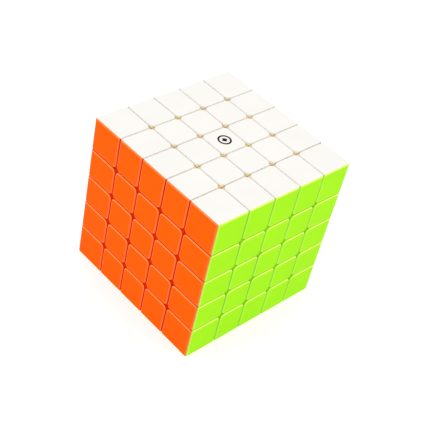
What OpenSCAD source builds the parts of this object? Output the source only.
// Five-layer twisty puzzle cube, stickerless.
// A core ball with six screws carries six sprung face centres. Every other piece hooks under its
// neighbours by stepped flanges. All of the cuts between layers are surfaces of revolution about the
// three axes, so each layer turns freely. The cube stands on its bottom face, at the origin, +Z up.

/* [Cube] */
// Length of the cube's edge
cube_size = 62; // [58:0.5:66]
// Distance from the middle plane to the inner cut, as a share of half the edge
inner_cut_share = 0.189; // [0.185:0.001:0.2]
// Distance from the middle plane to the outer cut, as a share of half the edge
outer_cut_share = 0.566; // [0.56:0.001:0.575]
// Gap between neighbouring tiles
tile_gap = 0.24; // [0.16:0.02:0.4]
// Gap between the hidden flanges
flange_gap = 0.5; // [0.3:0.05:0.6]

/* [Tiles] */
// Thickness of the coloured tiles
tile_thick = 1.6; // [1.2:0.1:2]
// Corner radius of a tile where four tiles meet
tile_corner_r = 1.9; // [0.8:0.1:2.2]
// Radius of the peg that holds a tile in its base
peg_r = 1.5; // [1:0.1:2]

/* [Core] */
// Radius of the core's ball
ball_r = 10; // [8:0.5:11]
// Radius of the core's arms
arm_r = 3; // [2.5:0.1:3.2]
// Radius of the screws' shanks
shank_r = 1.2; // [1:0.05:1.3]
// Radius of the screws' heads
head_r = 2.4; // [2:0.1:2.6]

/* [Hidden] */
half = cube_size / 2;
c1 = half * inner_cut_share;
c2 = half * outer_cut_share;
// Each cut steps inwards below a flange radius, which makes the hooks
flange_r1 = half * 0.694;
flange_r2 = half * 0.9;
foot_cut1 = half * 0.113;
foot_cut2 = half * 0.42;
g = tile_gap / 2;
f = flange_gap / 2;
far_r = half * 1.5;
base_half = half - tile_thick;

// Clearances: a pressed or sliding fit, and the skin left between a socket and the flange below it
slack = 0.1;
skin = 0.05;
hole_clearance = 0.2;
spring_clearance = 0.3;
well_clearance = 0.8;
arm_clearance = 0.25;
thread_bite = 0.1;

// Radii of the holes, and of what sits in them
hole_r = shank_r + hole_clearance;
pilot_r = shank_r - thread_bite;
well_r = head_r + well_clearance;
plug_r = well_r - slack;
spring_inner_r = shank_r + spring_clearance;
washer_overhang = 0.2;

// Heights along a screw's axis, from the cube's centre
screw_tip = ball_r * 0.4;
arm_end = foot_cut2 + f - arm_clearance;
floor_rise = 1;
well_floor = flange_r1 + floor_rise;
spring_len = 3;
spring_foot = well_floor + slack;
washer_thick = 0.4;
washer_foot = spring_foot + spring_len;
head_thick = 1.2;
head_foot = washer_foot + washer_thick;
shank_end = head_foot + head_thick / 4;

// The cross cut in a screw's head
recess_w = 0.6;
recess_depth = 0.7;
recess_len = head_r * 1.2;

// A peg is as long as the wall above the outer flange allows
peg_len = base_half - flange_r2 - f - slack - skin;

// Facets of a full circle on the layers, on round parts and on small holes
layer_fn = 96;
round_fn = 48;
hole_fn = 32;

// The six screw axes, as rotations of the +Z axis
AXES = [[0, 0, 0], [180, 0, 0], [90, 0, 0], [-90, 0, 0], [0, 90, 0], [0, -90, 0]];

tan_base = [0.86, 0.78, 0.58];
SIDES = ["green", "red", "blue", "orange"];
TILE_RGB = [["green", [0.6, 0.95, 0.05]], ["red", [0.85, 0.08, 0.1]], ["blue", [0.05, 0.3, 0.85]],
    ["orange", [1, 0.4, 0.05]], ["white", [0.96, 0.95, 0.93]], ["yellow", [1, 0.88, 0.1]]];
// The faces' turns, from the +Z face, in the order of TILE_RGB
FACE_TURNS = [[90, 0, 0], [90, 0, 90], [90, 0, 180], [90, 0, 270], [0, 0, 0], [180, 0, 0]];
KINDS = ["corner", "wing", "mid_edge", "x_centre", "t_centre", "face_centre"];
LAYERS = [["top", 2], ["upper", 1], ["middle", 0], ["lower", -1], ["bottom", -2]];

function rgb(name) = [for (c = TILE_RGB) if (c[0] == name) c[1]][0];
function count_of(v, n) = len([for (a = v) if (abs(a) == n) 1]);
// Kind of the piece at a cell: how many of its sides are outer sides, then where it lies in its face
function kind_at(v) = let (outer = count_of(v, 2), ones = count_of(v, 1))
    outer == 3 ? "corner" :
    outer == 2 ? (ones == 1 ? "wing" : "mid_edge") :
    outer == 1 ? (ones == 2 ? "x_centre" : ones == 1 ? "t_centre" : "face_centre") : "none";
function cells_of(kind, k) = [for (i = [-2:2], j = [-2:2]) if (kind_at([i, j, k]) == kind) [i, j, k]];

BASE_NODES = [for (l = LAYERS, kind = KINDS) if (len(cells_of(kind, l[1])) > 0)
    [str(l[0], "_", kind, "_bases"), kind, l[1]]];
SIDE_NODES = [for (l = LAYERS, s = [0:3]) [str(l[0], "_", SIDES[s], "_tiles"), s, l[1]]];

// Span of a cell between its cuts, with the gap taken off
function low(i) = i == 2 ? c2 + g : i == 1 ? c1 + g : i == 0 ? g - c1 : i == -1 ? g - c2 : -half;
function high(i) = -low(-i);
function mid(i) = (low(i) + high(i)) / 2;
function is_centre(i, j) = i == 0 && j == 0;

// Half section of one layer, as radius from the axis and distance along it
module layer_section(i) {
    if (i == 2)
        polygon([[0, foot_cut2 + f], [flange_r2 - f, foot_cut2 + f], [flange_r2 - f, c2 + g],
            [far_r, c2 + g], [far_r, half], [0, half]]);
    if (i == 1)
        polygon([[0, foot_cut1 + f], [flange_r1 - f, foot_cut1 + f], [flange_r1 - f, c1 + g],
            [far_r, c1 + g], [far_r, c2 - g], [flange_r2 + f, c2 - g],
            [flange_r2 + f, foot_cut2 - f], [0, foot_cut2 - f]]);
    if (i == 0)
        polygon([[0, f - foot_cut1], [flange_r1 + f, f - foot_cut1], [flange_r1 + f, g - c1],
            [far_r, g - c1], [far_r, c1 - g], [flange_r1 + f, c1 - g],
            [flange_r1 + f, foot_cut1 - f], [0, foot_cut1 - f]]);
}

// One layer about the Z axis
module layer(i) {
    mirror([0, 0, i < 0 ? 1 : 0])
        rotate_extrude($fn = layer_fn)
            layer_section(abs(i));
}

// The tan inner base of one piece: what its three layers share
module piece_base(v) {
    intersection() {
        cube(2 * base_half, center = true);
        rotate([0, 90, 0]) layer(v[0]);
        rotate([-90, 0, 0]) layer(v[1]);
        layer(v[2]);
    }
}

// Sockets for the pegs of a piece's tiles, one in each of its outer sides
module peg_sockets(v) {
    depth = 2 * (peg_len + slack);
    m = [mid(v[0]), mid(v[1]), mid(v[2])];
    for (a = [0:2])
        if (abs(v[a]) == 2)
            translate([for (b = [0:2]) b == a ? sign(v[a]) * base_half : m[b]])
                rotate([a == 1 ? 90 : 0, a == 0 ? 90 : 0, 0])
                    cylinder(h = depth, r = peg_r + slack, center = true, $fn = hole_fn);
}

// Stepped hole along a face centre's axis: screw hole below, spring well above
module centre_hole() {
    cylinder(h = half, r = hole_r, $fn = round_fn);
    translate([0, 0, well_floor]) cylinder(h = half - well_floor, r = well_r, $fn = round_fn);
}

// Whatever it is given, once along each screw axis
module on_axes() {
    for (a = AXES) rotate(a) children();
}

// All the bases of one kind in one layer
module piece_bases(kind, k) {
    color(tan_base)
        if (kind == "face_centre")
            difference() {
                for (v = cells_of(kind, k)) piece_base(v);
                on_axes() centre_hole();
            }
        else
            for (v = cells_of(kind, k))
                difference() {
                    piece_base(v);
                    peg_sockets(v);
                }
}

// Outline of a tile: rounded where four tiles meet, square at the cube's own edges
module tile_outline(i, j) {
    x = [low(i), high(i)];
    y = [low(j), high(j)];
    r = tile_corner_r;
    difference() {
        translate([x[0], y[0]]) square([x[1] - x[0], y[1] - y[0]]);
        for (sx = [-1, 1], sy = [-1, 1])
            if (sx * i < 2 && sy * j < 2)
                translate([x[(sx + 1) / 2], y[(sy + 1) / 2]])
                    difference() {
                        square(2 * r, center = true);
                        translate([-sx * r, -sy * r]) circle(r, $fn = hole_fn);
                    }
    }
}

// One coloured tile of the +Z face with its peg, mitred where two faces meet. A face centre's tile is
// the cap of the screw's well, and its peg plugs the well.
module tile(i, j) {
    translate([mid(i), mid(j), base_half - peg_len])
        cylinder(h = peg_len + tile_thick / 2, r = is_centre(i, j) ? plug_r : peg_r, $fn = round_fn);
    mitre = [[-base_half, base_half], [base_half, base_half], [half, half], [-half, half]];
    intersection() {
        translate([0, 0, base_half]) linear_extrude(tile_thick) tile_outline(i, j);
        if (abs(i) == 2) rotate([90, 0, 0]) linear_extrude(2 * far_r, center = true) polygon(mitre);
        if (abs(j) == 2)
            rotate([90, 0, 90]) linear_extrude(2 * far_r, center = true) polygon(mitre);
    }
}

// One side's tiles in one layer, without the face centre's
module side_tiles(s, k) {
    color(rgb(SIDES[s]))
        rotate([0, 0, 90 * s]) rotate([90, 0, 0])
            for (i = [-2:2]) if (!is_centre(i, k)) tile(i, k);
}

// The tiles of the +Z face, without the face centre's
module face_tiles(name) {
    color(rgb(name))
        for (i = [-2:2], j = [-2:2]) if (!is_centre(i, j)) tile(i, j);
}

// The tile of one face's centre, which caps the screw's well
module centre_cap(c) {
    color(TILE_RGB[c][1]) rotate(FACE_TURNS[c]) tile(0, 0);
}

// Ball with an arm for each face centre, and a pilot hole for each screw
module core() {
    color("white")
        difference() {
            union() {
                sphere(ball_r, $fn = layer_fn);
                on_axes() cylinder(h = arm_end, r = arm_r, $fn = round_fn);
            }
            on_axes() translate([0, 0, screw_tip]) cylinder(h = half, r = pilot_r, $fn = hole_fn);
        }
}

// Six screws, each with a shank, a flat head and a cross cut
module axle_screws() {
    color("silver")
        on_axes()
            difference() {
                union() {
                    translate([0, 0, screw_tip])
                        cylinder(h = shank_end - screw_tip, r = shank_r, $fn = hole_fn);
                    translate([0, 0, head_foot]) cylinder(h = head_thick, r = head_r, $fn = round_fn);
                }
                for (a = [0, 90])
                    rotate([0, 0, a])
                        translate([0, 0, head_foot + head_thick])
                            cube([recess_len, recess_w, 2 * recess_depth], center = true);
            }
}

// Each spring's outer shape, as a sleeve round its screw
module tension_springs() {
    color("gray")
        on_axes() translate([0, 0, spring_foot])
            ring(spring_inner_r, head_r, spring_len);
}

// A washer between each spring and its screw's head
module washers() {
    color("lightgray")
        on_axes() translate([0, 0, washer_foot])
            ring(shank_r + slack, head_r + washer_overhang, washer_thick);
}

// A flat-ended ring standing on z = 0
module ring(inner_r, outer_r, h) {
    difference() {
        cylinder(h = h, r = outer_r, $fn = round_fn);
        translate([0, 0, -h]) cylinder(h = 3 * h, r = inner_r, $fn = round_fn);
    }
}

// Everything is modelled about the cube's centre and then stood on its bottom face
translate([0, 0, half]) {
    for (n = BASE_NODES)
        piece_bases(n[1], n[2]);
    for (n = SIDE_NODES)
        side_tiles(n[1], n[2]);
    face_tiles("white");  // top_white_tiles
    rotate([180, 0, 0]) face_tiles("yellow");  // bottom_yellow_tiles
    for (c = [0:5])
        centre_cap(c);
    core();
    axle_screws();
    tension_springs();
    washers();
}
